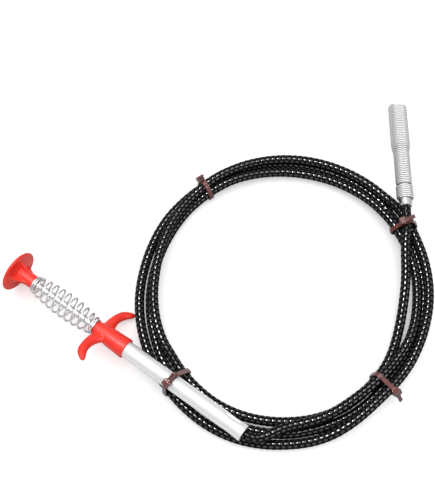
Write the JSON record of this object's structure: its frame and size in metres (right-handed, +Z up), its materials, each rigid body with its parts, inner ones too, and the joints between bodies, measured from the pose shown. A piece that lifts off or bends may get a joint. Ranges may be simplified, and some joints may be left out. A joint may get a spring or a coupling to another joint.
{
  "type": "drain auger",
  "caption": "Coiled flexible drain auger with a spring-loaded thumb button, two-finger grip and a spring head hiding a claw.",
  "frame": {"origin": "middle of the lying tool's overall box, on the floor plane it lies on", "axes": "+Z up from the floor, -X toward the thumb button end of the handle, +Y toward the claw head"},
  "size_m": [0.2891, 0.2509, 0.0309],
  "materials": {
    "red_plastic": "gloss",
    "chrome": "polished",
    "spring_steel": "satin",
    "tube_steel": "polished",
    "hose_black": "gloss",
    "core_steel": "satin",
    "claw_steel": "satin",
    "tie_brown": "gloss"
  },
  "bodies": {
    "handle_and_hose": {"finger_grip": "red_plastic", "handle_tube": "tube_steel", "spring_seat_front": "chrome", "return_spring": "spring_steel", "hose_jacket": "hose_black", "hose_core_spring": "core_steel", "inner_cable": "core_steel", "cable_tail": "core_steel", "head_ferrule": "chrome", "head_base_spring": "spring_steel", "head_spring": "spring_steel", "cable_tie_1": "tie_brown", "cable_tie_2": "tie_brown", "cable_tie_3": "tie_brown", "cable_tie_4": "tie_brown"},
    "plunger": {"button_cap": "red_plastic", "plunger_rod": "chrome", "spring_seat_rear": "chrome", "rod_stop_collar": "core_steel"},
    "claw_carrier": {"claw_crimp_sleeve": "core_steel", "claw_cable_end": "core_steel", "claw_strip_roots": "claw_steel"},
    "claw_finger_1": {"claw_finger_1": "claw_steel"},
    "claw_finger_2": {"claw_finger_2": "claw_steel"},
    "claw_finger_3": {"claw_finger_3": "claw_steel"},
    "claw_finger_4": {"claw_finger_4": "claw_steel"}
  },
  "joints": [
    {"name": "button_press", "type": "slide", "parent": "handle_and_hose", "child": "plunger", "axis": [0.8076, -0.5897, 0.0099], "range_m": [0, 0.03], "deforming": ["return_spring"]},
    {"name": "claw_slide", "type": "slide", "parent": "handle_and_hose", "child": "claw_carrier", "axis": [0.0169, 0.9986, -0.0496], "range_m": [0, 0.0305]},
    {"name": "claw_flex_1", "type": "hinge", "parent": "claw_carrier", "child": "claw_finger_1", "pos_m": [0.12985, 0.0981, 0.01356], "axis": [0.7076, 0.0231, 0.7062], "range_deg": [0, 30.5]},
    {"name": "claw_flex_2", "type": "hinge", "parent": "claw_carrier", "child": "claw_finger_2", "pos_m": [0.13225, 0.09806, 0.01356], "axis": [0.7064, -0.047, -0.7062], "range_deg": [0, 30.5]},
    {"name": "claw_flex_3", "type": "hinge", "parent": "claw_carrier", "child": "claw_finger_3", "pos_m": [0.13225, 0.09794, 0.01116], "axis": [-0.7076, -0.0231, -0.7062], "range_deg": [0, 30.5]},
    {"name": "claw_flex_4", "type": "hinge", "parent": "claw_carrier", "child": "claw_finger_4", "pos_m": [0.12984, 0.09799, 0.01116], "axis": [-0.7064, 0.047, 0.7062], "range_deg": [0, 30.5]}
  ],
  "couplings": [
    {"joint": "claw_slide", "follows": "button_press", "ratio": 1},
    {"joint": "claw_flex_1", "follows": "button_press", "rad_per_m": 17.453},
    {"joint": "claw_flex_2", "follows": "button_press", "rad_per_m": 17.453},
    {"joint": "claw_flex_3", "follows": "button_press", "rad_per_m": 17.453},
    {"joint": "claw_flex_4", "follows": "button_press", "rad_per_m": 17.453}
  ]
}
